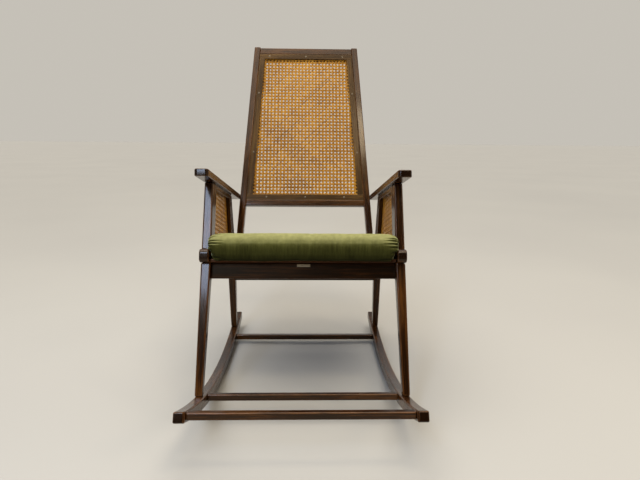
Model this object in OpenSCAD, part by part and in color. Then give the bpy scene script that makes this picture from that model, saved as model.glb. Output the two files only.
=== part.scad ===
// Rocking chair: two A-shaped side frames on curved rockers, a tall reclined cane back,
// cane side panels under the arms and a loose seat cushion.
// Millimetres, +Z up, the chair faces -Y. Members are laid out in the frame the chair is
// built in, with the lowest point of the rocker arc at the origin; at_rest() then rolls
// the whole chair back along its arc to the attitude it takes when it is left standing.

/* [Overall] */
// Half of the width over the legs
half_width = 259; // [240:1:285]
// How far the chair rolls back when nobody sits in it, degrees
rest_roll = 6; // [3:0.1:8]

/* [Rockers] */
// Radius of the rocker's running edge
rocker_radius = 1207; // [1150:1:1260]
// Thickness of rockers across the chair
rocker_width = 24; // [20:1:28]
// Arc angle from the lowest point to the front tip
rocker_front_angle = 21.2; // [20.8:0.1:23]
// Arc angle from the lowest point to the rear tip
rocker_rear_angle = 19.6; // [18:0.1:22]

/* [Legs] */
// Thickness of a leg across the chair where it crosses the seat rail
leg_width = 25; // [22:0.5:25]
// Depth of a leg where it crosses the seat rail
leg_depth = 34; // [28:1:38]
// Depth of a leg at its foot
foot_depth = 24; // [20:1:26]

/* [Seat] */
// Slope of the seat down to the rear, degrees
seat_slope = 11.4; // [9:0.2:13]
// Height of the side seat rail
seat_rail_height = 34; // [30:1:38]
// Height of the front and rear aprons
apron_height = 41; // [34:1:46]
// Thickness of the seat board
board_thickness = 8; // [6:0.5:12]
// Thickness of the cushion
cushion_thickness = 62; // [40:1:80]

/* [Arms] */
// Width of an armrest
arm_width = 34; // [30:1:40]
// Thickness of an armrest
arm_thickness = 18; // [15:1:20]
// Length of an armrest
arm_length = 546; // [530:1:560]

/* [Back] */
// Width of a back post seen from the front
post_width = 22; // [18:1:24]
// Depth of a back post
post_depth = 25; // [22:1:30]
// Length of the back above the arms
back_length = 578; // [560:1:620]
// Width of the strips that clamp the cane
strip_width = 20; // [16:1:22]

/* [Hidden] */
$fn = 64;
far = 400;
face_x = half_width - rocker_width;
lap_x = half_width - 12;
back_lean = 18.1;
back_foot = [328.8, 528.6];
seat_start = [-146, 363];
arm_start = [-197, 597];
arm_slope = 7.14;
stretcher_length = 2 * face_x;
dowel_radius = 5;
fit_gap = 0.05;
screw_radius = 1.6;
screw_head = 3.2;

// The top edge of a rocker is an arc of its own, so that the rocker is thickest under the seat.
top_radius = rocker_radius + 54.8;
top_centre = [-5.5, rocker_radius + 84.6];

// Legs: y of the front edge at height z.
function front_leg_y(z) = -142.7 + 0.312 * (z - 402.4);
function rear_leg_y(z) = 297 - 0.2467 * (z - 63);
front_heights = [40, 385, 590];
rear_heights = [40, 300, 560];
top_depth = 26;
foot_width = 18;
top_width = 21;

// Side panels: lines given by two points in (y, z).
panel_inner_x = half_width - 22.5;
panel_outer_x = half_width - 6.5;
side_cane_x = half_width - 10.5;
panel_stile = 20;
cane_thickness = 1.4;
panel_rail = 16;

// Seat frame: y runs down the slope to the rear, z is square to the seat.
apron_thickness = 20;
front_apron_y = 6;
rear_apron_y = 405;
board_front_y = -16;
board_notch_y = 395;
board_rear_y = 424;
cushion_front_y = -48;
cushion_rear_y = 401;
cushion_gap = 0.3;
cushion_half = half_width - 26.5;
cushion_bottom = board_thickness + cushion_gap;

// Back frame: z runs up the back, y is the depth behind the front face of the posts.
post_taper = 0.06;
post_kink = -127;
top_rail_low = back_length - 28;
top_rail_high = back_length - 4;
low_rail = [-37.5, -17.5];
cane_low = 3;
cane_high = top_rail_low - strip_width;
strip_front = 1;
strip_back = 7;
cane_back = 8.4;
ledge_back = 15;
ledge_lip = 5;
cane_tuck = 10;
function post_outer(s) = half_width - 32.64 - post_taper * max(s, post_kink);
function post_inner(s) = post_outer(s) - post_width;
function cane_edge(s) = post_inner(s) - strip_width;

// The chair stands with the middle of its length over the origin.
back_tip = back_foot + back_length * [sin(back_lean), cos(back_lean)]
    + post_depth * [cos(back_lean), -sin(back_lean)];
rest_front_y = -rocker_radius * sin(rocker_front_angle + rest_roll);
rest_rear_y = back_tip[0] * cos(rest_roll) + (back_tip[1] - rocker_radius) * sin(rest_roll);
centre_y = -(rest_front_y + rest_rear_y) / 2;

// ---- frames ---------------------------------------------------------------

module at_rest() {
    translate([0, centre_y, rocker_radius])
        rotate([-rest_roll, 0, 0])
            translate([0, 0, -rocker_radius])
                children();
}

module seat_frame() {
    translate([0, seat_start[0], seat_start[1]])
        rotate([-seat_slope, 0, 0])
            children();
}

module back_frame() {
    translate([0, back_foot[0], back_foot[1]])
        rotate([-back_lean, 0, 0])
            children();
}

module arm_frame() {
    translate([0, arm_start[0], arm_start[1]])
        rotate([-arm_slope, 0, 0])
            children();
}

// A plate drawn in (y, z) and given thickness across the chair.
module side_plate(x0, x1) {
    translate([x0, 0, 0])
        rotate([90, 0, 90])
            linear_extrude(x1 - x0)
                children();
}

// A plate drawn in (x, z) and given depth from y0 to y1.
module face_plate(y0, y1) {
    translate([0, y1, 0])
        rotate([90, 0, 0])
            linear_extrude(y1 - y0)
                children();
}

module block(low, high) {
    translate(low)
        cube(high - low);
}

module pin_x(x0, x1, y, z, r) {
    translate([x0, y, z])
        rotate([0, 90, 0])
            cylinder(r = r, h = x1 - x0);
}

// ---- right-hand members, mirrored for the left ----------------------------

module rocker_sector(front_angle, rear_angle) {
    reach = 1600;
    centre = [0, rocker_radius];
    front = centre + reach * [-sin(front_angle), -cos(front_angle)];
    rear = centre + reach * [sin(rear_angle), -cos(rear_angle)];
    side_plate(face_x - 1, half_width + 1)
        polygon([centre, front, [0, rocker_radius - 2 * reach], rear]);
}

module rocker_side() {
    chamfer = 4;
    tip = rocker_radius * [-sin(rocker_front_angle), 1 - cos(rocker_front_angle)];
    difference() {
        intersection() {
            pin_x(face_x, half_width, 0, rocker_radius, rocker_radius, $fn = 720);
            rocker_sector(rocker_front_angle, rocker_rear_angle);
        }
        pin_x(face_x - 1, half_width + 1, top_centre[0], top_centre[1], top_radius, $fn = 720);
        translate([face_x, tip[0], tip[1]])
            rotate([-rocker_front_angle, 0, 0])
                rotate([0, 0, 45])
                    cube([chamfer * sqrt(2), chamfer * sqrt(2), far], center = true);
    }
}

// Leg blank: straight front edge, deepest and widest at the middle height.
module leg_blank(heights, edge) {
    low = heights[0];
    mid = heights[1];
    high = heights[2];
    outer = half_width;
    intersection() {
        side_plate(outer - leg_width - 2, outer)
            polygon([[edge[0], low], [edge[2], high], [edge[2] + top_depth, high],
                [edge[1] + leg_depth, mid], [edge[0] + foot_depth, low]]);
        face_plate(edge[0] - far, edge[0] + far)
            polygon([[outer - foot_width, low], [outer + 1, low], [outer + 1, high],
                [outer - top_width, high], [outer - leg_width, mid]]);
    }
}

module front_leg_blank() {
    leg_blank(front_heights, [for (z = front_heights) front_leg_y(z)]);
}

module rear_leg_blank() {
    leg_blank(rear_heights, [for (z = rear_heights) rear_leg_y(z)]);
}

// Everything above the underside of the arm.
module above_arm() {
    arm_frame()
        block([0, -50, -arm_thickness], [far, far + 250, far]);
}

// Seat rail in the seat frame: square bar with rounded ends.
rail_front_y = -34;
rail_rear_y = 452;
rail_round = 12;
module seat_rail_bar(x0, x1) {
    high = seat_rail_height;
    seat_frame() {
        block([x0, rail_front_y + rail_round, -1.5], [x1, rail_rear_y - rail_round, high - 1.5]);
        block([x0, rail_front_y, rail_round - 1.5], [x1, rail_rear_y, high - rail_round - 1.5]);
        for (y = [rail_front_y + rail_round, rail_rear_y - rail_round])
            for (z = [rail_round - 1.5, high - rail_round - 1.5])
                pin_x(x0, x1, y, z, rail_round);
    }
}

// Centres of the half-lap joints, in the seat frame (y, z).
lap_z = seat_rail_height / 2 - 1.5;
front_lap = [12.5, lap_z];
rear_lap = [411, lap_z];
module dowel_pins(r) {
    seat_frame()
        for (p = [front_lap, rear_lap])
            pin_x(half_width - 19, half_width, p[0], p[1], r);
}

module front_leg_side() {
    difference() {
        front_leg_blank();
        rocker_side();
        below_foot(-246);
        above_arm();
        seat_rail_bar(lap_x, half_width + 1);
        dowel_pins(dowel_radius + fit_gap);
    }
}

module rear_leg_side() {
    difference() {
        rear_leg_blank();
        rocker_side();
        below_foot(300);
        above_arm();
        seat_rail_bar(lap_x, half_width + 1);
        dowel_pins(dowel_radius + fit_gap);
    }
}

// Waste of a leg blank that would come out under the rocker at y.
module below_foot(y) {
    middle = rocker_radius - sqrt(pow(rocker_radius, 2) - pow(y, 2)) + 12;
    block([0, y - 90, -50], [far, y + 90, middle]);
}

module seat_rail_side() {
    difference() {
        seat_rail_bar(face_x, half_width);
        lap_slot(front_heights, [for (z = front_heights) front_leg_y(z)]);
        lap_slot(rear_heights, [for (z = rear_heights) rear_leg_y(z)]);
        dowel_pins(dowel_radius + fit_gap);
    }
}

// The part of a leg's outline that the rail gives up on its inner half.
module lap_slot(heights, edge) {
    side_plate(face_x - 2, lap_x)
        polygon([[edge[0], heights[0]], [edge[2], heights[2]], [edge[2] + top_depth, heights[2]],
            [edge[1] + leg_depth, heights[1]], [edge[0] + foot_depth, heights[0]]]);
}

module armrest_side() {
    x0 = half_width - 31.5;
    x1 = x0 + arm_width;
    round_front = 8;
    round_rear = 12;
    arm_frame() {
        block([x0, round_front, -arm_thickness], [x1, arm_length - round_rear, 0]);
        block([x0, arm_length - round_rear - 1, round_rear - arm_thickness],
            [x1, arm_length, 0]);
        intersection() {
            pin_x(x0, x1, arm_length - round_rear, round_rear - arm_thickness, round_rear);
            block([x0 - 1, arm_length - 2 * round_rear, -arm_thickness - 1],
                [x1 + 1, arm_length + 1, -1]);
        }
        block([x0 + round_front, 0, -arm_thickness], [x1 - round_front, round_front + 1, 0]);
        for (x = [x0 + round_front, x1 - round_front])
            translate([x, round_front, -arm_thickness])
                cylinder(r = round_front, h = arm_thickness);
    }
}

// ---- side panels ----------------------------------------------------------

function cross2(a, b) = a[0] * b[1] - a[1] * b[0];
// Where the line through a, b meets the line through c, d.
function meet(a, b, c, d) =
    a + (b - a) * cross2(c - a, d - c) / cross2(b - a, d - c);
// A line moved square to itself.
function shift_line(l, by) =
    let (u = (l[1] - l[0]) / norm(l[1] - l[0]))
    [for (p = l) p + by * [-u[1], u[0]]];
function seat_point(y, z) =
    seat_start + y * [cos(seat_slope), -sin(seat_slope)] + z * [sin(seat_slope), cos(seat_slope)];
function arm_point(y, z) =
    arm_start + y * [cos(arm_slope), -sin(arm_slope)] + z * [sin(arm_slope), cos(arm_slope)];

rail_top = seat_rail_height - 1.5;
line_front = [[front_leg_y(front_heights[1]) + leg_depth, front_heights[1]],
    [front_leg_y(front_heights[2]) + top_depth, front_heights[2]]];
line_top = [arm_point(0, -arm_thickness), arm_point(500, -arm_thickness)];
line_rear = [[rear_leg_y(700), 700], [rear_leg_y(200), 200]];
line_low = [seat_point(500, rail_top), seat_point(0, rail_top)];
inner_front = shift_line(line_front, -panel_stile);
inner_top = shift_line(line_top, -panel_rail);
inner_rear = shift_line(line_rear, -panel_stile);
inner_low = shift_line(line_low, -panel_rail);

function corners(f, t, r, l) = [
    meet(l[0], l[1], f[0], f[1]),
    meet(f[0], f[1], t[0], t[1]),
    meet(t[0], t[1], r[0], r[1]),
    meet(r[0], r[1], l[0], l[1])];
outer_corners = corners(line_front, line_top, line_rear, line_low);
inner_corners = corners(inner_front, inner_top, inner_rear, inner_low);

// One member of a panel frame, mitred between corner a and corner b.
module panel_member(a, b) {
    side_plate(panel_inner_x, panel_outer_x)
        polygon([outer_corners[a], outer_corners[b], inner_corners[b], inner_corners[a]]);
}

module side_cane_sheet() {
    side_plate(side_cane_x, side_cane_x + cane_thickness)
        polygon(inner_corners);
}

// ---- back -----------------------------------------------------------------

module below_seat() {
    seat_frame()
        block([-far, -100, -far], [far, 800, 0]);
}

module back_post_side() {
    low = -320;
    difference() {
        back_frame()
            face_plate(0, post_depth)
                polygon([[post_inner(low), low], [post_outer(low), low],
                    [post_outer(low), post_kink], [post_outer(back_length), back_length],
                    [post_inner(back_length), back_length], [post_inner(low), post_kink]]);
        below_seat();
        rear_leg_blank();
    }
}

// A cross member whose ends follow the inner faces of the posts, set in by inset.
module cross_member(s0, s1, y0, y1, inset) {
    a = post_inner(s0) - inset;
    b = post_inner(s1) - inset;
    back_frame()
        face_plate(y0, y1)
            polygon([[-a, s0], [a, s0], [b, s1], [-b, s1]]);
}

// A strip along the right-hand post between s0 and s1, width wide, set in by inset.
module post_strip(s0, s1, y0, y1, inset, width) {
    a = post_inner(s0) - inset;
    b = post_inner(s1) - inset;
    back_frame()
        face_plate(y0, y1)
            polygon([[a - width, s0], [a, s0], [b, s1], [b - width, s1]]);
}

screw_rows = [cane_low - 10, cane_high + 10];
screw_spread = 136;
screw_heights = [160, 390];
module strip_screw(x, s, r, head, grow) {
    back_frame()
        translate([x, ledge_back - 1 + grow, s])
            rotate([90, 0, 0]) {
                cylinder(r = r, h = ledge_back - 1 + grow, $fn = 32);
                translate([0, 0, ledge_back - 1 - strip_front + grow])
                    cylinder(r1 = head, r2 = head * 0.75, h = 1, $fn = 32);
            }
}

module all_screws(r, head, grow) {
    for (s = screw_rows)
        for (x = [-screw_spread, 0, screw_spread])
            strip_screw(x, s, r, head, grow);
    for (s = screw_heights)
        for (side = [-1, 1])
            strip_screw(side * (post_inner(s) - strip_width / 2), s, r, head, grow);
}

module drilled() {
    difference() {
        children();
        all_screws(screw_radius + fit_gap, screw_radius + fit_gap, 1);
    }
}

// ---- colours --------------------------------------------------------------

module dark_wood() {
    color([0.23, 0.13, 0.08])
        at_rest()
            children();
}

module left() {
    mirror([1, 0, 0])
        children();
}

// ---- nodes ----------------------------------------------------------------

module rocker_right() { dark_wood() rocker_side(); }
module rocker_left() { dark_wood() left() rocker_side(); }

module stretcher(y, z, deep, high) {
    dark_wood()
        block([-face_x, y, z - high], [face_x, y + deep, z]);
}
module front_stretcher() { stretcher(-422, 96.6, 15, 16); }
module middle_stretcher() { stretcher(-221, 45.8, 15, 16); }
module rear_stretcher() { stretcher(251, 49, 20, 16); }

module front_leg_right() { dark_wood() front_leg_side(); }
module front_leg_left() { dark_wood() left() front_leg_side(); }
module rear_leg_right() { dark_wood() rear_leg_side(); }
module rear_leg_left() { dark_wood() left() rear_leg_side(); }
module seat_rail_right() { dark_wood() seat_rail_side(); }
module seat_rail_left() { dark_wood() left() seat_rail_side(); }

module apron(y) {
    dark_wood()
        difference() {
            seat_frame()
                block([-face_x - 1.5, y, -apron_height], [face_x + 1.5, y + apron_thickness, 0]);
            for (side = [0, 1])
                mirror([side, 0, 0]) {
                    front_leg_blank();
                    rear_leg_blank();
                    seat_rail_bar(face_x, half_width);
                }
        }
}
module front_apron() { apron(front_apron_y); }
module rear_apron() { apron(rear_apron_y); }

module lap_dowels() {
    color([0.27, 0.16, 0.1])
        at_rest() {
            dowel_pins(dowel_radius);
            left() dowel_pins(dowel_radius);
        }
}

module blank_label() {
    color([0.8, 0.75, 0.6])
        at_rest()
            seat_frame()
                block([-17, front_apron_y - 0.5, -11], [17, front_apron_y, -4]);
}

module seat_board() {
    color([0.42, 0.22, 0.13])
        at_rest()
            seat_frame() {
                block([-cushion_half - 1, board_front_y, 0],
                    [cushion_half + 1, board_notch_y, board_thickness]);
                block([0.5 - post_inner(post_kink), board_notch_y, 0],
                    [post_inner(post_kink) - 0.5, board_rear_y, board_thickness]);
            }
}

module seat_cushion() {
    front_r = cushion_thickness / 2;
    rear_r = 10;
    z0 = cushion_bottom;
    z1 = z0 + cushion_thickness;
    color([0.29, 0.32, 0.16])
        at_rest()
            seat_frame() {
                block([-cushion_half, cushion_front_y + front_r, z0],
                    [cushion_half, cushion_rear_y - rear_r, z1]);
                pin_x(-cushion_half, cushion_half, cushion_front_y + front_r, z0 + front_r, front_r);
                block([-cushion_half, cushion_rear_y - rear_r - 1, z0 + rear_r],
                    [cushion_half, cushion_rear_y, z1 - rear_r]);
                for (z = [z0 + rear_r, z1 - rear_r])
                    pin_x(-cushion_half, cushion_half, cushion_rear_y - rear_r, z, rear_r);
            }
}

module armrest_right() { dark_wood() armrest_side(); }
module armrest_left() { dark_wood() left() armrest_side(); }

module panel_front_stile_right() { dark_wood() panel_member(0, 1); }
module panel_front_stile_left() { dark_wood() left() panel_member(0, 1); }
module panel_top_rail_right() { dark_wood() panel_member(1, 2); }
module panel_top_rail_left() { dark_wood() left() panel_member(1, 2); }
module panel_rear_stile_right() { dark_wood() panel_member(2, 3); }
module panel_rear_stile_left() { dark_wood() left() panel_member(2, 3); }
module panel_bottom_rail_right() { dark_wood() panel_member(3, 0); }
module panel_bottom_rail_left() { dark_wood() left() panel_member(3, 0); }

module cane_color() {
    color([0.78, 0.5, 0.22])
        at_rest()
            children();
}
module side_cane_right() { cane_color() side_cane_sheet(); }
module side_cane_left() { cane_color() left() side_cane_sheet(); }

module back_post_right() { dark_wood() back_post_side(); }
module back_post_left() { dark_wood() left() back_post_side(); }
module back_top_rail() {
    dark_wood()
        cross_member(top_rail_low, top_rail_high, 1, post_depth - 2, 0);
}
module back_lower_rail() {
    dark_wood()
        cross_member(low_rail[0], low_rail[1], 0, post_depth - 3, 0);
}

module cane_strip_bottom() {
    dark_wood()
        drilled() cross_member(low_rail[1], cane_low, strip_front, strip_back, 0);
}
module cane_strip_top() {
    dark_wood()
        drilled() cross_member(cane_high, top_rail_low, strip_front, strip_back, 0);
}
module cane_strip_right() {
    dark_wood()
        drilled() post_strip(cane_low, cane_high, strip_front, strip_back, 0, strip_width);
}
module cane_strip_left() {
    dark_wood()
        left() drilled() post_strip(cane_low, cane_high, strip_front, strip_back, 0, strip_width);
}

module cane_ledge_bottom() {
    dark_wood()
        drilled() cross_member(low_rail[1], cane_low + ledge_lip, cane_back, ledge_back, 0);
}
module cane_ledge_top() {
    dark_wood()
        drilled() cross_member(cane_high - ledge_lip, top_rail_low, cane_back, ledge_back, 0);
}
module cane_ledge_right() {
    dark_wood()
        drilled() post_strip(cane_low + ledge_lip, cane_high - ledge_lip, cane_back,
            ledge_back, 0, strip_width + ledge_lip);
}
module cane_ledge_left() {
    dark_wood()
        left() drilled() post_strip(cane_low + ledge_lip, cane_high - ledge_lip, cane_back,
            ledge_back, 0, strip_width + ledge_lip);
}

module back_cane() {
    cane_color()
        drilled()
            cross_member(cane_low - cane_tuck - 3, cane_high + cane_tuck + 3, strip_back, cane_back,
                strip_width - cane_tuck - 3);
}

module strip_screws() {
    color([0.75, 0.7, 0.6])
        at_rest()
            all_screws(screw_radius, screw_head, 0);
}

rocker_left();
rocker_right();
front_stretcher();
middle_stretcher();
rear_stretcher();
front_leg_left();
front_leg_right();
rear_leg_left();
rear_leg_right();
seat_rail_left();
seat_rail_right();
front_apron();
rear_apron();
lap_dowels();
blank_label();
seat_board();
seat_cushion();
armrest_left();
armrest_right();
panel_front_stile_left();
panel_front_stile_right();
panel_rear_stile_left();
panel_rear_stile_right();
panel_top_rail_left();
panel_top_rail_right();
panel_bottom_rail_left();
panel_bottom_rail_right();
side_cane_left();
side_cane_right();
back_post_left();
back_post_right();
back_top_rail();
back_lower_rail();
cane_strip_top();
cane_strip_bottom();
cane_strip_left();
cane_strip_right();
cane_ledge_top();
cane_ledge_bottom();
cane_ledge_left();
cane_ledge_right();
back_cane();
strip_screws();
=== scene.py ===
"""Looks of the rocking chair: lacquered wood over the CAD members, a woven cane back and
side panels made strand by strand, a gathered velvet cushion and slotted screws."""

import math
import random

import bmesh
import bpy
from mathutils import Euler, Matrix, Vector, noise
from mathutils.kdtree import KDTree


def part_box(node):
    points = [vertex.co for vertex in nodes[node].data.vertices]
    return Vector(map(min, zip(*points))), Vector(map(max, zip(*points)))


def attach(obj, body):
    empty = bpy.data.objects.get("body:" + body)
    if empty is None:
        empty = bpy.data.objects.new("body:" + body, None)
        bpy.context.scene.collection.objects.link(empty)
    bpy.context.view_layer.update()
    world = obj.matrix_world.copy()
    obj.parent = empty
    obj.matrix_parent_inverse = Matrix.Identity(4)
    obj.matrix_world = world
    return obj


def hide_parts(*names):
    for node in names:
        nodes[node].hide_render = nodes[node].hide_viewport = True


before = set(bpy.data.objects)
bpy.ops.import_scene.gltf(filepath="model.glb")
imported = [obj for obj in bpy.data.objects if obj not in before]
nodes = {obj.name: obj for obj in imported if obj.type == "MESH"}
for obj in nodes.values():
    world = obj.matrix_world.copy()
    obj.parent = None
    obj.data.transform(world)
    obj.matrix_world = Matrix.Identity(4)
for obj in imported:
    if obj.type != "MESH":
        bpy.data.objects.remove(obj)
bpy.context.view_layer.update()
scene = bpy.context.scene
random.seed(7)

# ---- the chair's own frames, as in part.scad (metres) -----------------------
ROCKER_RADIUS = 1.207
REST_ROLL = math.radians(6.0)
SEAT_SLOPE = math.radians(11.4)
ARM_SLOPE = math.radians(7.14)
BACK_LEAN = math.radians(18.1)
CENTRE_Y = 0.018397
SEAT_START = (0, -0.146, 0.363)
BACK_FOOT = (0, 0.3288, 0.5286)
FRONT_LEG_LEAN = 0.312
REAR_LEG_LEAN = -0.2467
POST_TAPER = 0.06


def about_x(angle):
    """A turn that tips the front up, as rotate([-angle, 0, 0]) does in part.scad."""
    return Matrix.Rotation(-angle, 4, "X")


level = (
    Matrix.Translation((0, CENTRE_Y, ROCKER_RADIUS))
    @ about_x(REST_ROLL)
    @ Matrix.Translation((0, 0, -ROCKER_RADIUS))
)
seat = level @ Matrix.Translation(SEAT_START) @ about_x(SEAT_SLOPE)
back = level @ Matrix.Translation(BACK_FOOT) @ about_x(BACK_LEAN)


def direction(matrix, vector):
    """The unit vector that a frame turns the given one into."""
    return (matrix.to_3x3() @ Vector(vector)).normalized()


# ---- node helpers -----------------------------------------------------------
class Shader:
    """A small helper that adds and links shader nodes."""

    def __init__(self, name):
        self.material = bpy.data.materials.new(name)
        self.material.use_nodes = True
        self.tree = self.material.node_tree
        self.tree.nodes.clear()
        self.out = self.add("ShaderNodeOutputMaterial")
        self.bsdf = self.add("ShaderNodeBsdfPrincipled")
        self.link(self.bsdf.outputs[0], self.out.inputs["Surface"])
        self.coord = self.add("ShaderNodeTexCoord").outputs["Object"]

    def add(self, kind, **settings):
        node = self.tree.nodes.new(kind)
        for key, value in settings.items():
            setattr(node, key, value)
        return node

    def link(self, a, b):
        self.tree.links.new(a, b)

    def put(self, node, key, value):
        if isinstance(value, bpy.types.NodeSocket):
            self.link(value, node.inputs[key])
        else:
            node.inputs[key].default_value = value

    def mapping(self, rotation=(0, 0, 0), scale=(1, 1, 1), place=(0, 0, 0)):
        """Object coordinates turned back by rotation, then stretched by scale."""
        node = self.add("ShaderNodeMapping", vector_type="TEXTURE")
        node.inputs["Rotation"].default_value = rotation
        node.inputs["Scale"].default_value = [1 / v for v in scale]
        node.inputs["Location"].default_value = place
        self.link(self.coord, node.inputs["Vector"])
        return node.outputs[0]

    def noise(self, vector, scale, detail=3.0, rough=0.5, distortion=0.0):
        node = self.add("ShaderNodeTexNoise")
        self.link(vector, node.inputs["Vector"])
        node.inputs["Scale"].default_value = scale
        node.inputs["Detail"].default_value = detail
        node.inputs["Roughness"].default_value = rough
        node.inputs["Distortion"].default_value = distortion
        return node.outputs["Fac"]

    def math(self, op, a, b=0.0, clamp=False):
        node = self.add("ShaderNodeMath", operation=op, use_clamp=clamp)
        self.put(node, 0, a)
        self.put(node, 1, b)
        return node.outputs[0]

    def remap(self, value, low, high, to_low=0.0, to_high=1.0):
        node = self.add("ShaderNodeMapRange")
        self.put(node, "Value", value)
        node.inputs["From Min"].default_value = low
        node.inputs["From Max"].default_value = high
        node.inputs["To Min"].default_value = to_low
        node.inputs["To Max"].default_value = to_high
        return node.outputs[0]

    def ramp(self, value, stops):
        node = self.add("ShaderNodeValToRGB")
        self.link(value, node.inputs[0])
        elements = node.color_ramp.elements
        while len(elements) < len(stops):
            elements.new(0.5)
        for element, (place, colour) in zip(elements, stops):
            element.position = place
            element.color = (*colour, 1)
        return node.outputs[0]

    def mix(self, factor, a, b, blend="MIX"):
        node = self.add("ShaderNodeMix", data_type="RGBA", blend_type=blend)
        self.put(node, 0, factor)
        for socket, value in ((6, a), (7, b)):
            if isinstance(value, bpy.types.NodeSocket):
                self.link(value, node.inputs[socket])
            else:
                node.inputs[socket].default_value = (*value, 1)
        return node.outputs[2]

    def bump(self, height, strength, distance):
        node = self.add("ShaderNodeBump")
        node.inputs["Strength"].default_value = strength
        node.inputs["Distance"].default_value = distance
        self.link(height, node.inputs["Height"])
        self.link(node.outputs[0], self.bsdf.inputs["Normal"])

    def set(self, **values):
        for key, value in values.items():
            self.put(self.bsdf, key.replace("_", " "), value)


# ---- wood -------------------------------------------------------------------
WOODS = {
    # name: (dark, middle, light, roughness, coat)
    "frame": ((0.003, 0.0009, 0.0002), (0.019, 0.0056, 0.0009), (0.105, 0.036, 0.006), 0.28, 0.26),
    # the aprons' wood is a darker copy of the frame's: painted shade from the cushion above
    "apron": ((0.0018, 0.0005, 0.0001), (0.0085, 0.0024, 0.0004), (0.046, 0.0145, 0.0024), 0.36, 0.03),
    "strip": ((0.008, 0.0031, 0.0005), (0.03, 0.0125, 0.0022), (0.115, 0.056, 0.011), 0.36, 0.04),
    "board": ((0.012, 0.0035, 0.001), (0.036, 0.011, 0.003), (0.085, 0.028, 0.009), 0.5, 0.1),
}
# colour of the eased edges: part rubbed wear, part a painted highlight along them
EDGE_WEAR_AND_HIGHLIGHT = {
    "frame": (0.12, 0.044, 0.011),
    "apron": (0.07, 0.025, 0.007),
    "strip": (0.2, 0.11, 0.042),
    "board": (0.14, 0.05, 0.018),
}


def wood(kind, axis, edge=False):
    """Lacquered straight-grained wood whose fibres run along axis."""
    axis = Vector(axis).normalized()
    label = "".join(f"_{round(v * 100)}" for v in axis).replace("-", "m")
    name = f"wood_{kind}{'_edge' if edge else ''}{label}"
    if name in bpy.data.materials:
        return bpy.data.materials[name]
    dark, middle, light, rough, coat = WOODS[kind]
    sh = Shader(name)
    turn = Vector((0, 0, 1)).rotation_difference(axis).to_euler()
    long_grain = sh.mapping(turn, (1, 1, 0.045))
    short_grain = sh.mapping(turn, (1, 1, 0.02), (3.1, 1.7, 0.4))
    fibre = sh.noise(long_grain, 520, 4, 0.62)
    band = sh.noise(long_grain, 150, 3, 0.55, 0.5)
    patch = sh.noise(sh.mapping(turn, (1, 1, 0.2)), 22, 2, 0.5)
    pore = sh.remap(sh.noise(short_grain, 1250, 1, 0.5), 0.62, 0.72)
    tone = sh.math("ADD", sh.math("MULTIPLY", fibre, 0.34), sh.math("MULTIPLY", band, 0.44))
    tone = sh.math("ADD", tone, sh.math("MULTIPLY", patch, 0.3))
    colour = sh.ramp(tone, [(0.36, dark), (0.53, middle), (0.72, light)])
    colour = sh.mix(sh.math("MULTIPLY", pore, 0.7), colour, tuple(v * 0.3 for v in dark))
    # the eased edges are painted lighter: part rubbed wear, part painted highlight
    if edge:
        lighter_mask = sh.remap(sh.noise(sh.mapping(turn, (1, 1, 0.12)), 120, 4, 0.65), 0.42, 0.72, 0.12, 0.85)
        colour = sh.mix(lighter_mask, colour, EDGE_WEAR_AND_HIGHLIGHT[kind])
    facing = sh.add("ShaderNodeVectorMath", operation="DOT_PRODUCT")
    sh.link(sh.add("ShaderNodeNewGeometry").outputs["Normal"], facing.inputs[0])
    facing.inputs[1].default_value = axis
    end = sh.remap(sh.math("ABSOLUTE", facing.outputs["Value"]), 0.72, 0.9)
    pits = sh.remap(sh.noise(sh.coord, 1500, 2, 0.6), 0.35, 0.65)
    end_tone = sh.mix(pits, tuple(v * 0.5 for v in dark), tuple(v * 0.75 for v in middle))
    colour = sh.mix(end, colour, end_tone)
    gloss = sh.math("ADD", sh.math("MULTIPLY", patch, 0.16), rough - 0.1)
    gloss = sh.math("ADD", gloss, sh.math("MULTIPLY", pore, 0.12))
    sh.set(
        Base_Color=colour, Roughness=gloss, IOR=1.5, Specular_IOR_Level=0.22,
        Specular_Tint=(1.0, 0.7, 0.4, 1), Coat_Weight=coat, Coat_Roughness=0.12,
    )
    height = sh.math("SUBTRACT", sh.math("MULTIPLY", fibre, 0.5), pore)
    sh.bump(height, 0.22, 0.00035)
    return sh.material


def end_grain(name):
    """The ends of the lap dowels: rings and dark pores."""
    sh = Shader(name)
    spots = sh.noise(sh.coord, 2600, 2, 0.6)
    rings = sh.noise(sh.coord, 700, 2, 0.5, 2.0)
    tone = sh.math("ADD", sh.math("MULTIPLY", spots, 0.5), sh.math("MULTIPLY", rings, 0.5))
    stops = [(0.35, (0.012, 0.005, 0.003)), (0.6, (0.05, 0.02, 0.01)), (0.8, (0.1, 0.045, 0.02))]
    colour = sh.ramp(tone, stops)
    sh.set(Base_Color=colour, Roughness=0.45, Coat_Weight=0.3, Coat_Roughness=0.25)
    sh.bump(tone, 0.3, 0.0004)
    return sh.material


def clusters(node, key, reach):
    """Groups a node's vertices by key(vertex), a 2-D place, and gives the middle of each group."""
    groups = []
    for vertex in nodes[node].data.vertices:
        place = Vector(key(vertex.co))
        for group in groups:
            if (place - group[0]).length < reach:
                group.append(place)
                break
        else:
            groups.append([place])
    middles = []
    for group in groups:
        low = [min(p[i] for p in group) for i in (0, 1)]
        high = [max(p[i] for p in group) for i in (0, 1)]
        middles.append(Vector([(low[i] + high[i]) / 2 for i in (0, 1)]))
    return middles


BACK_INVERSE = back.inverted()


def on_back(point):
    """A point's place across and up the back."""
    local = BACK_INVERSE @ point
    return local.x, local.z


# how far a vertex of a drilled rim lies from the middle of its hole, at most
DOWEL_RIM = 0.0056
SCREW_RIM = 0.0024
DOWEL_PLACES = clusters("lap_dowels", lambda p: (p.y, p.z), 0.02)
SCREW_PLACES = clusters("strip_screws", on_back, 0.01)


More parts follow.
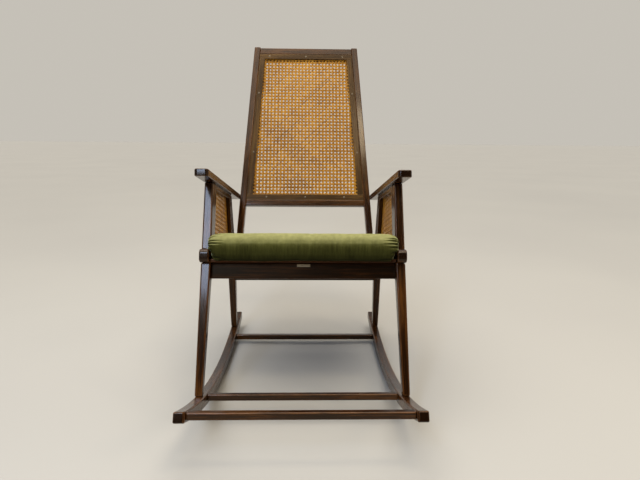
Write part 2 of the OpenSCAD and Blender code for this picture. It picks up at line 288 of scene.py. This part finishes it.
def at_hole(point):
    side = Vector((point.y, point.z))
    front = Vector(on_back(point))
    at_dowel = any((side - p).length < DOWEL_RIM for p in DOWEL_PLACES)
    return at_dowel or any((front - p).length < SCREW_RIM for p in SCREW_PLACES)


# vertices this close are one, and faces this near to one plane are joined
WELD = 0.00002
ONE_PLANE = math.radians(0.4)
# an edge is eased where it bends more than this, and fully where it bends more than the second
CORNER_BEND = math.radians(28)
SQUARE_BEND = math.radians(60)
BLUNT_EASE = 0.4


def mark_edges(mesh):
    """Weights the corners to be eased, and keeps the rims of drilled holes sharp."""
    normals = {}
    tree = KDTree(len(mesh.vertices))
    for vertex in mesh.vertices:
        tree.insert(vertex.co, vertex.index)
    tree.balance()
    merged = [min(i for _, i, _ in tree.find_range(v.co, WELD)) for v in mesh.vertices]

    def key(edge):
        return tuple(sorted(merged[i] for i in edge))

    for polygon in mesh.polygons:
        for edge in polygon.edge_keys:
            normals.setdefault(key(edge), []).append(polygon.normal.copy())
    weight = mesh.attributes.new("bevel_weight_edge", "FLOAT", "EDGE")
    sharp = mesh.attributes.new("sharp_edge", "BOOLEAN", "EDGE")
    for edge in mesh.edges:
        around = normals.get(key(edge.vertices), [])
        bend = around[0].angle(around[1], 0) if len(around) == 2 else 0.0
        corner = bend > CORNER_BEND
        hole = corner and all(at_hole(mesh.vertices[i].co) for i in edge.vertices)
        full = 1.0 if bend > SQUARE_BEND else BLUNT_EASE
        weight.data[edge.index].value = full if corner and not hole else 0.0
        sharp.data[edge.index].value = hole


def finish_member(name, kind, axis, bevel, segments=3):
    """Gives a CAD member its grain and eases its edges; the eased edges show wear and a painted highlight.
    """
    obj = nodes[name]
    mesh = obj.data
    mesh.materials.clear()
    mesh.materials.append(wood(kind, axis))
    mesh.materials.append(wood(kind, axis, edge=True))
    for polygon in mesh.polygons:
        polygon.use_smooth = True
    mark_edges(mesh)
    weld = obj.modifiers.new("weld", "WELD")
    weld.merge_threshold = WELD
    plain = obj.modifiers.new("plain", "DECIMATE")
    plain.decimate_type = "DISSOLVE"
    plain.angle_limit = ONE_PLANE
    ease = obj.modifiers.new("ease", "BEVEL")
    ease.width = bevel
    ease.segments = segments
    ease.limit_method = "WEIGHT"
    ease.use_clamp_overlap = False
    ease.miter_outer = "MITER_ARC"
    ease.material = 1
    ease.harden_normals = True
    smooth = obj.modifiers.new("normals", "WEIGHTED_NORMAL")
    smooth.keep_sharp = True


ACROSS = (1, 0, 0)
ALONG = direction(level, (0, 1, 0))
FRONT_LEG = direction(level, (0, FRONT_LEG_LEAN, 1))
REAR_LEG = direction(level, (0, REAR_LEG_LEAN, 1))
DOWN_SEAT = direction(seat, (0, 1, 0))
DOWN_ARM = direction(level @ about_x(ARM_SLOPE), (0, 1, 0))
POST = {"left": direction(back, (POST_TAPER, 0, 1)), "right": direction(back, (-POST_TAPER, 0, 1))}

# widths of the eased edges
EASE = {
    "rocker": 0.0034,
    "leg": 0.0038,
    "seat_rail": 0.0035,
    "armrest": 0.0028,
    "post": 0.0028,
    "stretcher": 0.0026,
    "back_rail": 0.002,
    "slim": 0.0012,
    "ledge": 0.001,
    "apron": 0.0007,
}

for side in ("left", "right"):
    finish_member(f"rocker_{side}", "frame", ALONG, EASE["rocker"], 4)
    finish_member(f"front_leg_{side}", "frame", FRONT_LEG, EASE["leg"], 4)
    finish_member(f"rear_leg_{side}", "frame", REAR_LEG, EASE["leg"], 4)
    finish_member(f"seat_rail_{side}", "frame", DOWN_SEAT, EASE["seat_rail"], 4)
    finish_member(f"armrest_{side}", "frame", DOWN_ARM, EASE["armrest"], 4)
    finish_member(f"panel_front_stile_{side}", "frame", FRONT_LEG, EASE["slim"])
    finish_member(f"panel_rear_stile_{side}", "frame", REAR_LEG, EASE["slim"])
    finish_member(f"panel_top_rail_{side}", "frame", DOWN_ARM, EASE["slim"])
    finish_member(f"panel_bottom_rail_{side}", "frame", DOWN_SEAT, EASE["slim"])
    finish_member(f"back_post_{side}", "frame", POST[side], EASE["post"])
    finish_member(f"cane_strip_{side}", "strip", POST[side], EASE["slim"])
    finish_member(f"cane_ledge_{side}", "strip", POST[side], EASE["ledge"])
for name in ("front_stretcher", "middle_stretcher", "rear_stretcher"):
    finish_member(name, "frame", ACROSS, EASE["stretcher"])
# the aprons take the darker wood, a painted shade
for name in ("front_apron", "rear_apron"):
    finish_member(name, "apron", ACROSS, EASE["apron"])
for name in ("back_top_rail", "back_lower_rail"):
    finish_member(name, "frame", ACROSS, EASE["back_rail"])
for name in ("cane_strip_top", "cane_strip_bottom"):
    finish_member(name, "strip", ACROSS, EASE["slim"])
for name in ("cane_ledge_top", "cane_ledge_bottom"):
    finish_member(name, "strip", ACROSS, EASE["ledge"])
finish_member("seat_board", "board", ACROSS, EASE["slim"])
nodes["lap_dowels"].data.materials.clear()
nodes["lap_dowels"].data.materials.append(end_grain("dowel_end"))


def label_material():
    """A blank lacquered brass-coloured tag."""
    sh = Shader("blank_tag")
    smear = sh.noise(sh.mapping(scale=(0.15, 1, 1)), 900, 3, 0.6)
    stops = [(0.3, (0.16, 0.1, 0.045)), (0.6, (0.34, 0.24, 0.12)), (0.85, (0.45, 0.35, 0.2))]
    colour = sh.ramp(smear, stops)
    sh.set(Base_Color=colour, Roughness=sh.remap(smear, 0.2, 0.8, 0.35, 0.6), Metallic=0.6)
    return sh.material


nodes["blank_label"].data.materials.clear()
nodes["blank_label"].data.materials.append(label_material())


# ---- woven cane -------------------------------------------------------------
PITCH = 0.0125
# half the distance between the two strands of a pair
PAIR_GAP = 0.00136
PAIR_DRIFT = 0.0001
# width and thickness of the straight strands and of the slants
STRAND = (0.0026, 0.00062)
SLANT = (0.0034, 0.00058)
# a straight strand rises and dips by LOCK_DEPTH within LOCK_REACH pitches of a crossing
LOCK_DEPTH = 0.00034
LOCK_REACH = 0.19
SLANT_DEPTH = 0.00062
SHORTEST_STRAND = 0.003
# more slants each way than any panel needs, and the steps along each one per crossing
SLANT_COUNT = 90
SLANT_STEPS = 8


def hull(points):
    """Convex outline of 2-D points, counter-clockwise."""
    points = sorted(set((round(x, 6), round(y, 6)) for x, y in points))

    def half(ordered):
        chain = []
        for p in ordered:
            while len(chain) > 1:
                (ax, ay), (bx, by) = chain[-2:]
                if (bx - ax) * (p[1] - ay) - (by - ay) * (p[0] - ax) > 1e-9:
                    break
                chain.pop()
            chain.append(p)
        return chain[:-1]

    return half(points) + half(points[::-1])


def clip_line(outline, start, along, margin):
    """Where the line start + t * along lies inside outline, moved out by margin (in if < 0)."""
    low, high = -9.0, 9.0
    for a, b in zip(outline, outline[1:] + outline[:1]):
        edge = Vector((b[0] - a[0], b[1] - a[1])).normalized()
        outward = Vector((edge.y, -edge.x))
        gap = outward.dot(Vector(a)) + margin - outward.dot(start)
        rate = outward.dot(along)
        if abs(rate) < 1e-9:
            if gap < 0:
                return None
        elif rate > 0:
            high = min(high, gap / rate)
        else:
            low = max(low, gap / rate)
    return (low, high) if high - low > SHORTEST_STRAND else None


def ribbon(store, path, across, size, tone):
    """Adds one strand: path is a list of (u, v, depth); across is its sideways direction."""
    width, thick = size
    profile = (
        (-0.5, -0.5), (-0.44, 0.2), (-0.2, 0.46), (0.2, 0.46), (0.44, 0.2), (0.5, -0.5),
    )
    verts, faces, tones = store
    count = len(profile)
    first = len(verts)
    for u, v, depth in path:
        for side, up in profile:
            sideways = side * width
            verts.append((u + across[0] * sideways, v + across[1] * sideways, depth + up * thick))
            tones.append(tone)
    for i in range(len(path) - 1):
        a = first + i * count
        for k in range(count):
            m = (k + 1) % count
            faces.append((a + k, a + m, a + count + m, a + count + k))
    faces.append(tuple(range(first + count - 1, first - 1, -1)))
    last = first + (len(path) - 1) * count
    faces.append(tuple(range(last, last + count)))


def stations(low, high, offset):
    """Places along a straight strand: close together where it crosses a pair."""
    marks = {low, high}
    first = math.floor((low - offset) / PITCH) - 1
    last = math.ceil((high - offset) / PITCH) + 1
    for k in range(first, last):
        for part in (-0.2, -0.14, -0.09, 0, 0.09, 0.14, 0.2):
            mark = offset + (k + part) * PITCH
            if low < mark < high:
                marks.add(mark)
    return sorted(marks)


def locked(place, offset, sign):
    """Depth of a straight strand that goes over one strand of a pair and under the other."""
    t = (place - offset) / PITCH
    t -= round(t)
    if abs(t) >= LOCK_REACH:
        return 0.0
    return sign * LOCK_DEPTH * math.sin(math.pi * t / LOCK_REACH)


def straight_strands(store, outline, margin, origin, crosswise):
    """Pairs of uprights, or of cross strands where crosswise is 1, locked over and under."""
    base, other = origin[crosswise], origin[1 - crosswise]
    along = Vector((1, 0)) if crosswise else Vector((0, 1))
    across = (0, -1) if crosswise else (1, 0)
    span = [p[crosswise] for p in outline]
    first = math.floor((min(span) - base) / PITCH) - 1
    last = math.ceil((max(span) - base) / PITCH) + 2
    for k in range(first, last):
        for pair in (-1, 1):
            at = base + k * PITCH + pair * (PAIR_GAP + random.uniform(-PAIR_DRIFT, PAIR_DRIFT))
            start = Vector((0, at)) if crosswise else Vector((at, 0))
            reach = clip_line(outline, start, along, margin)
            if not reach:
                continue
            sign = -pair if crosswise else pair
            path = []
            for t in stations(reach[0], reach[1], other):
                point = start + along * t
                path.append((point.x, point.y, locked(t, other, sign)))
            ribbon(store, path, across, STRAND, random.random())


def slants(store, outline, margin, origin, turn):
    """One set of diagonal strands, waving over and under; turn is 1 or -1."""
    u0, v0 = origin
    root = math.sqrt(0.5)
    along = Vector((root, root * turn))
    across = (along.y, -along.x)
    for k in range(-SLANT_COUNT, SLANT_COUNT + 1):
        # the slants run half a pitch off the crossings, so the holes stay open
        start = Vector((u0 + (k + 0.5) * PITCH, v0))
        reach = clip_line(outline, start, along, margin)
        if not reach:
            continue
        path = []
        length = reach[1] - reach[0]
        steps = max(2, round(length / (PITCH * math.sqrt(2)) * SLANT_STEPS))
        for i in range(steps + 1):
            point = start + along * (reach[0] + length * i / steps)
            wave = math.cos(2 * math.pi * (point.x - u0) / PITCH)
            path.append((point.x, point.y, turn * SLANT_DEPTH * wave))
        ribbon(store, path, across, SLANT, random.random())


def weave(name, outline, margin, to_row, origin):
    """Open cane: pairs of uprights and cross strands locked together, and two slants."""
    store = ([], [], [])
    for crosswise in (0, 1):
        straight_strands(store, outline, margin, origin, crosswise)
    for turn in (1, -1):
        slants(store, outline, margin, origin, turn)
    verts, faces, tones = store
    mesh = bpy.data.meshes.new(name)
    mesh.from_pydata([to_row(*v) for v in verts], [], faces)
    tone = mesh.attributes.new("tone", "FLOAT", "POINT")
    tone.data.foreach_set("value", tones)
    for polygon in mesh.polygons:
        polygon.use_smooth = True
    obj = bpy.data.objects.new(name, mesh)
    scene.collection.objects.link(obj)
    mesh.materials.append(cane_material())
    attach(obj, "frame")
    return obj


def cane_material():
    """Glossy rattan bark: each strand its own honey tone, with darker nodes and fine fibre."""
    if "cane_bark" in bpy.data.materials:
        return bpy.data.materials["cane_bark"]
    sh = Shader("cane_bark")
    tone = sh.add("ShaderNodeAttribute", attribute_name="tone").outputs["Fac"]
    age = sh.noise(sh.coord, 7, 3, 0.6)
    speck = sh.noise(sh.coord, 260, 3, 0.6)
    fine = sh.noise(sh.coord, 1400, 2, 0.5)
    value = sh.math("ADD", sh.math("MULTIPLY", tone, 0.3), sh.math("MULTIPLY", speck, 0.35))
    value = sh.math("ADD", value, sh.math("MULTIPLY", age, 0.38))
    stops = [
        (0.24, (0.12, 0.039, 0.002)),
        (0.46, (0.315, 0.125, 0.006)),
        (0.66, (0.485, 0.222, 0.017)),
        (0.9, (0.64, 0.36, 0.055)),
    ]
    colour = sh.ramp(value, stops)
    node_mark = sh.remap(sh.noise(sh.coord, 95, 1, 0.5), 0.68, 0.76)
    colour = sh.mix(sh.math("MULTIPLY", node_mark, 0.55), colour, (0.11, 0.045, 0.012))
    sh.set(
        Base_Color=colour, Roughness=sh.remap(speck, 0.2, 0.8, 0.34, 0.56), Specular_IOR_Level=0.3,
        Specular_Tint=(1.0, 0.8, 0.5, 1),
    )
    sh.bump(fine, 0.15, 0.0002)
    return sh.material


def outline_of(node, matrix, pick):
    """A CAD sheet's outline in the plane that pick takes from a frame."""
    inverse = matrix.inverted()
    return hull([tuple(pick(inverse @ v.co)) for v in nodes[node].data.vertices])


back_outline = outline_of("back_cane", back, lambda p: (p.x, p.z))
# the middle of the back's cane behind the front of the posts
CANE_DEPTH = 0.0077
# the back's strands end inside the strips, and the sides' strands run into their frames
BACK_MARGIN = -0.006
SIDE_MARGIN = 0.004


def back_to_row(u, v, depth):
    return back @ Vector((u, CANE_DEPTH - depth, v))


back_weave = weave("back_cane_weave", back_outline, BACK_MARGIN, back_to_row, (0, 0.006))
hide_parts("back_cane")

for side, sign in (("left", -1), ("right", 1)):
    low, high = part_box(f"side_cane_{side}")
    sheet_x = (low.x + high.x) / 2
    side_outline = outline_of(f"side_cane_{side}", seat, lambda p: (p.y, p.z))

    def side_to_row(u, v, depth, x=sheet_x, out=sign):
        return seat @ Vector((x - out * depth, u, v))

    piece = weave(f"side_cane_weave_{side}", side_outline, SIDE_MARGIN, side_to_row, (0.2, 0.05))
    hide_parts(f"side_cane_{side}")


# ---- screws -----------------------------------------------------------------
def screw_material():
    """Dull, spotted metal."""
    sh = Shader("pale_screw")
    wear = sh.noise(sh.coord, 1500, 3, 0.6)
    stops = [(0.3, (0.06, 0.045, 0.028)), (0.55, (0.17, 0.135, 0.09)), (0.8, (0.34, 0.29, 0.21))]
    colour = sh.ramp(wear, stops)
    sh.set(Base_Color=colour, Metallic=1.0, Roughness=sh.remap(wear, 0.2, 0.8, 0.32, 0.6))
    return sh.material


def slotted_head(mesh, matrix, angle):
    """A raised countersunk head with a driver slot, built ring by ring."""
    radius, rise, skirt = 0.0032, 0.0009, 0.0012
    slot_half, slot_deep = 0.00042, 0.0008
    rings, around = 12, 48
    grid = []
    for i in range(1, rings + 1):
        r = radius * i / rings
        row = []
        for k in range(around):
            a = 2 * math.pi * k / around
            x, y = r * math.cos(a), r * math.sin(a)
            z = rise * math.sqrt(max(0.0, 1 - (r / radius) ** 2) * 0.75 + 0.25) - rise * 0.5
            side = x * math.sin(angle) + y * math.cos(angle)
            if abs(side) < slot_half:
                z -= slot_deep * (1 - (side / slot_half) ** 4)
            row.append(mesh.verts.new(matrix @ Vector((x, -z, y))))
        grid.append(row)
    inwards = matrix.to_3x3() @ Vector((0, skirt, 0))
    grid.append([mesh.verts.new(v.co + inwards) for v in grid[-1]])
    for inner, outer in zip(grid[:-2], grid[1:-1]):
        for k in range(around):
            m = (k + 1) % around
            mesh.faces.new((inner[k], inner[m], outer[m], outer[k]))
    mesh.faces.new(grid[0][::-1])
    for k in range(around):
        m = (k + 1) % around
        mesh.faces.new((grid[-2][k], grid[-2][m], grid[-1][m], grid[-1][k]))
    mesh.faces.new(grid[-1])


def screws():
    """One head for each CAD screw, a little behind the front of the CAD head."""
    sunk = 0.0007
    front = min((BACK_INVERSE @ v.co).y for v in nodes["strip_screws"].data.vertices)
    mesh = bmesh.new()
    for x, z in SCREW_PLACES:
        place = Matrix.Translation((x, front + sunk, z))
        slotted_head(mesh, back @ place, random.uniform(0, math.pi))
    bmesh.ops.recalc_face_normals(mesh, faces=mesh.faces)
    data = bpy.data.meshes.new("screw_heads")
    mesh.to_mesh(data)
    for polygon in data.polygons:
        polygon.use_smooth = True
    data.materials.append(screw_material())
    obj = bpy.data.objects.new("screw_heads", data)
    scene.collection.objects.link(obj)
    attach(obj, "frame")
    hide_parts("strip_screws")


screws()


# ---- cushion ----------------------------------------------------------------
def cushion_sizes():
    """The cushion's box in the seat frame, from its CAD solid."""
    inverse = seat.inverted()
    points = [inverse @ v.co for v in nodes["seat_cushion"].data.vertices]
    low = Vector([min(p[i] for p in points) for i in range(3)])
    high = Vector([max(p[i] for p in points) for i in range(3)])
    return low, high


C_LOW, C_HIGH = cushion_sizes()
HALF_THICK = (C_HIGH.z - C_LOW.z) / 2
MID_Z = (C_HIGH.z + C_LOW.z) / 2
HALF_LONG = C_HIGH.x
REAR_SQUEEZE = 0.55
FRONT_AXIS = C_LOW.y + HALF_THICK
REAR_AXIS = C_HIGH.y - HALF_THICK * REAR_SQUEEZE


def section(count_round, count_flat):
    """Outline of the cushion seen from its end: the y of the axis that each point is set out
    from, its normal's y and z, and how much the outline is squeezed along y."""
    points = []
    for i in range(count_round + 1):
        a = math.pi / 2 + math.pi * i / count_round
        points.append((FRONT_AXIS, math.cos(a), math.sin(a), 1.0))
    for i in range(1, count_flat):
        points.append((FRONT_AXIS + (REAR_AXIS - FRONT_AXIS) * i / count_flat, 0, -1, 1.0))
    for i in range(count_round + 1):
        a = -math.pi / 2 + math.pi * i / count_round
        points.append((REAR_AXIS, math.cos(a), math.sin(a), REAR_SQUEEZE))
    for i in range(1, count_flat):
        points.append((REAR_AXIS + (FRONT_AXIS - REAR_AXIS) * i / count_flat, 0, 1, 1.0))
    return points


def base_cushion(shrink):
    """A pad wrapped front to back, with rounded shoulders and flat end panels."""
    ring = section(20, 60)
    # distance in from the end, and the share of the full thickness there
    ends = [
        (0.0, 0.0), (0.0, 0.35), (0.0004, 0.6), (0.0018, 0.76), (0.0048, 0.88), (0.0095, 0.96), (0.018, 1.0),
    ]
    shoulder = ends[-1][0]
    profile = [(-HALF_LONG + d, k) for d, k in ends]
    profile += [(-HALF_LONG + shoulder + (HALF_LONG - shoulder) * i / 30, 1.0) for i in range(1, 60)]
    profile += [(HALF_LONG - d, k) for d, k in ends[::-1]]
    mesh = bmesh.new()
    rows = []
    for x, k in profile:
        row = []
        for axis_y, ny, nz, squeeze in ring:
            reach = HALF_THICK * k * shrink
            y, z = axis_y + ny * reach * squeeze, MID_Z + nz * reach
            row.append(mesh.verts.new((x * (0.985 + 0.015 * shrink), y, z)))
        rows.append(row)
    for a, b in zip(rows, rows[1:]):
        for k in range(len(ring)):
            m = (k + 1) % len(ring)
            mesh.faces.new((a[k], a[m], b[m], b[k]))
    mesh.faces.new(rows[0][::-1])
    mesh.faces.new(rows[-1])
    bmesh.ops.remove_doubles(mesh, verts=mesh.verts, dist=0.00005)
    bmesh.ops.recalc_face_normals(mesh, faces=mesh.faces)
    data = bpy.data.meshes.new("cushion_base")
    mesh.to_mesh(data)
    return data


def baked(obj):
    """The object's mesh with its modifiers applied."""
    graph = bpy.context.evaluated_depsgraph_get()
    return bpy.data.meshes.new_from_object(obj.evaluated_get(graph))


def smoothstep(low, high, value):
    t = min(1.0, max(0.0, (value - low) / (high - low)))
    return t * t * (3 - 2 * t)


CLOTH_FRAMES = 20
CLOTH_CAP = 0.006


def inflate(obj):
    """Pressure in a cloth skin, with no gravity. The cap cuts back nearly every point, so this
    swells the pad almost evenly; its form comes from base_cushion and shape_cushion."""
    rest = [v.co.copy() for v in obj.data.vertices]
    cloth = obj.modifiers.new("cloth", "CLOTH")
    s = cloth.settings
    s.quality = 4
    s.mass = 0.25
    s.tension_stiffness = 12
    s.compression_stiffness = 12
    s.shear_stiffness = 4
    s.bending_stiffness = 0.4
    s.use_pressure = True
    s.uniform_pressure_force = 4
    s.effector_weights.gravity = 0
    cloth.point_cache.frame_start = 1
    cloth.point_cache.frame_end = CLOTH_FRAMES
    for f in range(1, CLOTH_FRAMES + 1):
        scene.frame_set(f)
    result = baked(obj)
    for v, start in zip(result.vertices, rest):
        move = v.co - start
        if move.length > CLOTH_CAP:
            move *= CLOTH_CAP / move.length
        v.co = start + move
    scene.frame_set(1)
    obj.modifiers.remove(cloth)
    obj.data = result


# each gather's shift along the seam in steps, its strength, and its length
PLEATS = [
    (random.uniform(-0.28, 0.28), random.uniform(0.5, 1.2), random.uniform(0.02, 0.048))
    for _ in range(400)
]
PLEAT_STEP = 0.0125
CREASE_WIDTH = 0.17
FOLD_WIDTH = 0.5
PLEAT_DEPTH = 0.0062
SEAM_DEPTH = 0.004


def pleat_height(run, inwards):
    """Gathers of the wrap where it is sewn to an end: narrow creases with soft folds between.
    run is the way along the seam, inwards the distance from the end."""
    total = 0.0
    place = run / PLEAT_STEP
    for k in (math.floor(place) - 1, math.floor(place), math.floor(place) + 1):
        shift, strength, length = PLEATS[k % len(PLEATS)]
        gap = place - (k + shift)
        fade = 1 - smoothstep(0.15 * length, length, inwards)
        crease = math.exp(-((gap / CREASE_WIDTH) ** 2))
        swell = 0.35 * math.exp(-((gap / FOLD_WIDTH) ** 2))
        total -= strength * fade * (crease - swell)
    return total


def knuckle_gap(y, z):
    """Distance from the rounded front end of a seat rail, in the seat frame."""
    dy = max(0.0, -0.022 - y)
    dz = max(0.0, abs(z - 0.0155) - 0.005)
    return math.hypot(dy, dz) - 0.012


def shape_cushion(obj):
    """Settles the pad into its place, then adds the seams, gathers and soft hollows."""
    obj.data.update()
    normals = [v.normal.copy() for v in obj.data.vertices]
    floor_z = C_LOW.z
    crease_shades = []
    for v, n in zip(obj.data.vertices, normals):
        p = v.co
        side = 1 if p.x > 0 else -1
        end_gap = HALF_LONG - abs(p.x)
        axis_y = min(max(p.y, FRONT_AXIS), REAR_AXIS)
        dy, dz = p.y - axis_y, p.z - MID_Z
        radius = math.hypot(dy, dz)
        if p.y < FRONT_AXIS:
            run = math.atan2(dz, -dy) * HALF_THICK
        else:
            run = (1 if dz > 0 else -1) * (math.pi / 2 * HALF_THICK + (p.y - FRONT_AXIS))
        run += 0.37 * side
        rise = radius / HALF_THICK
        gather = smoothstep(0.2, 0.5, rise) * (0.35 + 0.65 * smoothstep(0.0, 0.004, end_gap))
        crease = gather * pleat_height(run, end_gap)
        # painted shade: how dark each crease of the gathers is painted
        crease_shades.append(max(0.0, -crease - 0.12) * 1.3)
        out = PLEAT_DEPTH * crease
        end_panel = 1 - smoothstep(0.004, 0.012, end_gap)
        out -= SEAM_DEPTH * math.exp(-(((rise - 0.2) / 0.13) ** 2)) * end_panel
        soft = noise.noise(p * 14) * 0.0011 + noise.noise(p * 38 + Vector((5, 2, 1))) * 0.00045
        out += soft * smoothstep(0.0, 0.03, end_gap)
        q = p + n * out
        # the front roll bulges past the legs and knuckles and hangs over the board's edge
        past_leg = smoothstep(0.007, 0.018, -q.y)
        past_knuckle = smoothstep(0.0004, 0.004, knuckle_gap(q.y, q.z))
        wide = 0.0092 + 0.0075 * smoothstep(0.034, 0.044, -q.y)
        wide *= past_leg * past_knuckle * smoothstep(0.17, 0.225, abs(q.x))
        q.x += side * wide
        limit = HALF_LONG + min(wide, 0.0105)
        q.x = max(-limit, min(limit, q.x))
        if q.z < floor_z + 0.0002 and q.y > -0.0165:
            q.z = floor_z + 0.0002
        q.z -= 0.012 * smoothstep(0.0168, 0.027, -q.y) * (1 - smoothstep(floor_z, MID_Z, q.z))
        v.co = q
    fold = obj.data.attributes.new("fold", "FLOAT", "POINT")
    fold.data.foreach_set("value", crease_shades)
    obj.data.update()


def velvet_material():
    """Olive velvet: dark pile that goes pale at grazing angles, with brushed vertical streaks, a painted
    paler top, painted shade underneath and painted shade in the gathers' creases.
    """
    sh = Shader("olive_velvet")
    brushed = sh.noise(sh.mapping(scale=(1, 0.1, 0.1)), 230, 4, 0.6)
    lay = sh.noise(sh.mapping(scale=(1, 0.4, 0.4)), 22, 3, 0.55, 0.5)
    pile = sh.noise(sh.coord, 1900, 2, 0.6)
    value = sh.math("ADD", sh.math("MULTIPLY", brushed, 0.3), sh.math("MULTIPLY", lay, 0.3))
    value = sh.math("ADD", value, sh.math("MULTIPLY", pile, 0.4))
    stops = [(0.34, (0.024, 0.0235, 0.003)), (0.51, (0.062, 0.06, 0.0105)), (0.68, (0.115, 0.11, 0.025))]
    nap = sh.ramp(value, stops)
    # painted light and shade: the pile is painted paler where it faces up, as if lit from above, and much
    # darker where it faces down, as if in shade
    up = sh.add("ShaderNodeVectorMath", operation="DOT_PRODUCT")
    sh.link(sh.add("ShaderNodeNewGeometry").outputs["Normal"], up.inputs[0])
    up.inputs[1].default_value = direction(seat, (0, -0.2, 1))
    top_light_mottle = sh.math("MULTIPLY", sh.math("SUBTRACT", sh.noise(sh.coord, 75, 3, 0.6), 0.5), 0.5)
    top_light_facing = sh.math("ADD", up.outputs["Value"], top_light_mottle)
    lighter_mask = sh.math("POWER", sh.remap(top_light_facing, 0.1, 1.0), 1.6)
    painted_under_shade = sh.remap(up.outputs["Value"], 0.45, -0.5)
    # painted highlight: the pale colour where the pile faces up
    colour = sh.mix(sh.math("MULTIPLY", lighter_mask, 0.8), nap, (0.36, 0.34, 0.13))
    # painted shade: the near-black where the pile faces down
    colour = sh.mix(sh.math("MULTIPLY", painted_under_shade, 0.9), colour, (0.004, 0.0036, 0.0002))
    # painted shade darkens the creases of the gathers
    fold = sh.add("ShaderNodeAttribute", attribute_name="fold").outputs["Fac"]
    colour = sh.mix(sh.math("MULTIPLY", fold, 0.85, clamp=True), colour, (0.006, 0.0056, 0.0008))
    sh.set(
        Base_Color=colour, Roughness=0.8, Specular_IOR_Level=0.06,
        Sheen_Weight=0.62, Sheen_Roughness=0.28, Sheen_Tint=(1.0, 0.98, 0.5, 1),
    )
    sh.bump(sh.math("ADD", pile, sh.math("MULTIPLY", brushed, 0.7)), 0.35, 0.0007)
    return sh.material


def make_cushion():
    """A slightly small pad, remeshed, swelled as cloth, refined and then shaped by code."""
    obj = bpy.data.objects.new("velvet_cushion", base_cushion(0.93))
    scene.collection.objects.link(obj)
    remesh = obj.modifiers.new("remesh", "REMESH")
    remesh.mode = "VOXEL"
    remesh.voxel_size = 0.0045
    obj.data = baked(obj)
    obj.modifiers.clear()
    inflate(obj)
    refine = obj.modifiers.new("refine", "SUBSURF")
    refine.levels = refine.render_levels = 1
    obj.data = baked(obj)
    obj.modifiers.clear()
    shape_cushion(obj)
    obj.data.transform(seat)
    for polygon in obj.data.polygons:
        polygon.use_smooth = True
    obj.data.materials.clear()
    obj.data.materials.append(velvet_material())
    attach(obj, "cushion")
    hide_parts("seat_cushion")


make_cushion()


# ---- floor, light and camera --------------------------------------------------
def floor_material():
    """A pale matt floor with a faint drift in its tone."""
    sh = Shader("pale_floor")
    drift = sh.noise(sh.coord, 0.8, 2, 0.5)
    colour = sh.ramp(drift, [(0.3, (0.4, 0.375, 0.33)), (0.7, (0.42, 0.395, 0.345))])
    sh.set(Base_Color=colour, Roughness=0.8)
    return sh.material


FLOOR_HALF = 60
floor_mesh = bpy.data.meshes.new("floor")
corners = [(x * FLOOR_HALF, y * FLOOR_HALF, 0) for x, y in ((-1, -1), (1, -1), (1, 1), (-1, 1))]
floor_mesh.from_pydata(corners, [], [(0, 1, 2, 3)])
floor_mesh.materials.append(floor_material())
floor = bpy.data.objects.new("floor", floor_mesh)
scene.collection.objects.link(floor)


BACKDROP = (0.56, 0.53, 0.475)


def studio_world():
    """A plain pale backdrop; the light it gives is brighter behind the chair than in front."""
    world = bpy.data.worlds.new("studio")
    world.use_nodes = True
    tree = world.node_tree
    coord = tree.nodes.new("ShaderNodeTexCoord")
    split = tree.nodes.new("ShaderNodeSeparateXYZ")
    tree.links.new(coord.outputs["Generated"], split.inputs[0])
    ramp = tree.nodes.new("ShaderNodeValToRGB")
    shift = tree.nodes.new("ShaderNodeMapRange")
    shift.inputs["From Min"].default_value = -1
    shift.inputs["From Max"].default_value = 1
    tree.links.new(split.outputs["Y"], shift.inputs["Value"])
    tree.links.new(shift.outputs[0], ramp.inputs[0])
    stops = [(0.0, (0.03, 0.03, 0.033)), (0.4, (0.07, 0.07, 0.072)), (0.62, (0.58, 0.57, 0.55))]
    while len(ramp.color_ramp.elements) < len(stops):
        ramp.color_ramp.elements.new(0.5)
    for element, (place, colour) in zip(ramp.color_ramp.elements, stops):
        element.position = place
        element.color = (*colour, 1)
    seen = tree.nodes.new("ShaderNodeMix")
    seen.data_type = "RGBA"
    tree.links.new(tree.nodes.new("ShaderNodeLightPath").outputs["Is Camera Ray"], seen.inputs[0])
    tree.links.new(ramp.outputs[0], seen.inputs[6])
    seen.inputs[7].default_value = (*BACKDROP, 1)
    tree.links.new(seen.outputs[2], tree.nodes["Background"].inputs[0])
    return world


scene.world = studio_world()
scene.view_settings.view_transform = "Standard"


def aim(obj, place, target):
    obj.location = place
    obj.rotation_euler = (Vector(target) - Vector(place)).to_track_quat("-Z", "Y").to_euler()
    scene.collection.objects.link(obj)


def softbox(name, place, target, size, power, colour):
    data = bpy.data.lights.new(name, "AREA")
    data.shape = "RECTANGLE"
    data.size, data.size_y = size
    data.energy = power
    data.color = colour
    light = bpy.data.objects.new(name, data)
    light.visible_camera = False
    aim(light, place, target)


softbox("overhead", (-0.2, 0.25, 2.6), (0, 0.05, 0.4), (1.2, 0.8), 10, (1.0, 0.98, 0.94))
softbox("window_left", (-0.78, -2.35, 1.96), (-0.24, -0.2, 0.5), (0.42, 0.92), 31, (0.52, 0.68, 1.0))
softbox("room_right", (2.3, -1.6, 1.9), (0, 0, 0.5), (0.6, 0.6), 11, (1.0, 0.85, 0.66))
softbox("lamp", (0.42, -1.05, 2.35), (0.1, 0.4, 0.8), (0.5, 0.35), 9, (1.0, 0.86, 0.62))
ceiling = bpy.data.lights.new("ceiling", "SUN")
ceiling.energy = 3.2
ceiling.angle = math.radians(75)
ceiling.color = (1.0, 0.98, 0.95)
aim(bpy.data.objects.new("ceiling", ceiling), (-0.3, -0.3, 3), (0, 0, 0))

camera_data = bpy.data.cameras.new("camera")
camera_data.lens = 26.858
camera_data.sensor_width = 36
camera = bpy.data.objects.new("camera", camera_data)
camera.location = (0.0124, -1.3939, 0.6939)
camera.rotation_euler = Euler([math.radians(a) for a in (77.931, -0.481, -1.294)], "XYZ")
scene.collection.objects.link(camera)
scene.camera = camera
